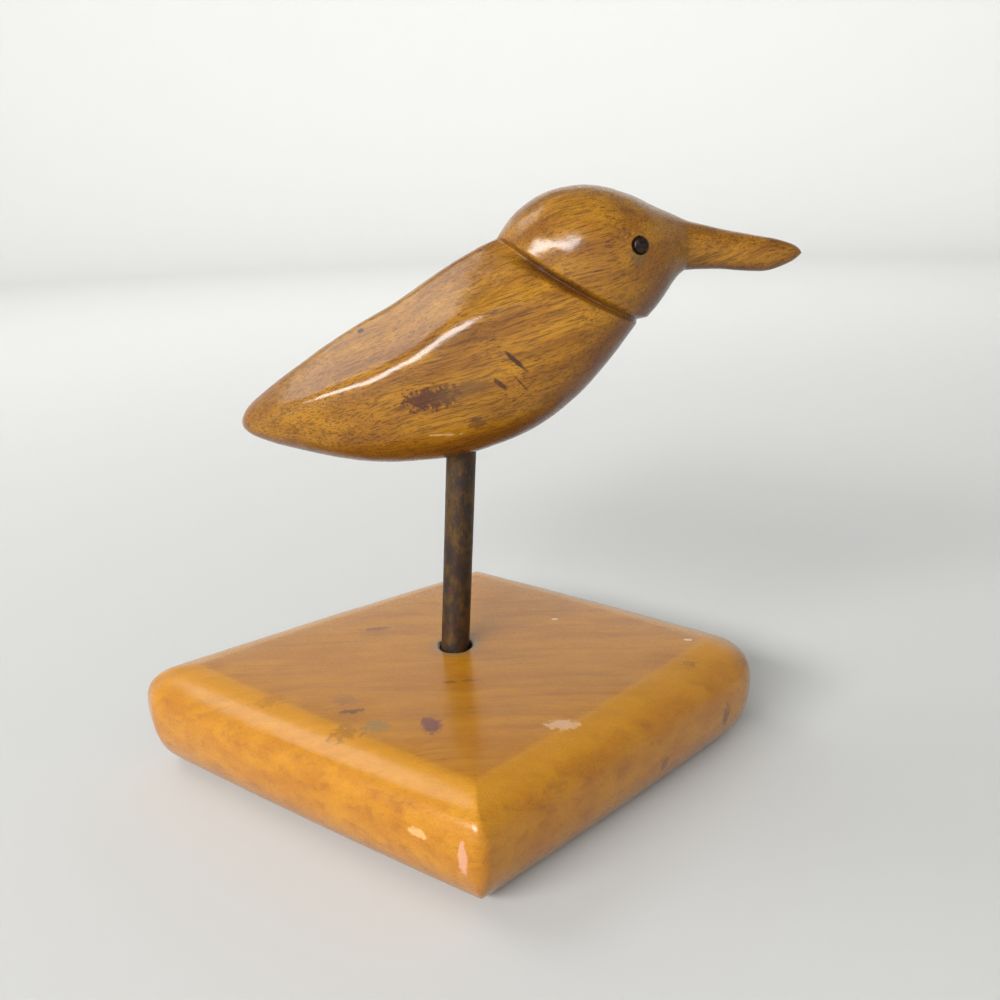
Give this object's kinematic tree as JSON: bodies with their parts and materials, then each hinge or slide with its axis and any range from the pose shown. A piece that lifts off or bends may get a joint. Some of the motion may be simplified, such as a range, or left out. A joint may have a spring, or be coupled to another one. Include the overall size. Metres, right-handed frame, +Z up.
{
  "type": "carved bird on a stand",
  "caption": "Carved wooden bird with a long straight beak, held over a rounded wooden block by a plain metal rod.",
  "frame": {"origin": "middle of the block's flat underside", "axes": "+Z up, +X the way the beak points, along the block's longer diagonal, -Y the bird's right side"},
  "size_m": [0.1419, 0.1142, 0.1216],
  "materials": {
    "base_wood": "honey-coloured timber under a thick glossy lacquer",
    "bird_wood": "ochre-brown timber under a thick glossy lacquer, darker in its recesses",
    "rod_metal": "dark tarnish with mottled ochre and red-brown patches",
    "nail_metal": "blackened nail head under lacquer"
  },
  "bodies": {
    "root": {"base": "base_wood", "rod": "rod_metal", "bird": "bird_wood", "eye_right": "nail_metal", "eye_left": "nail_metal"}
  },
  "joints": []
}
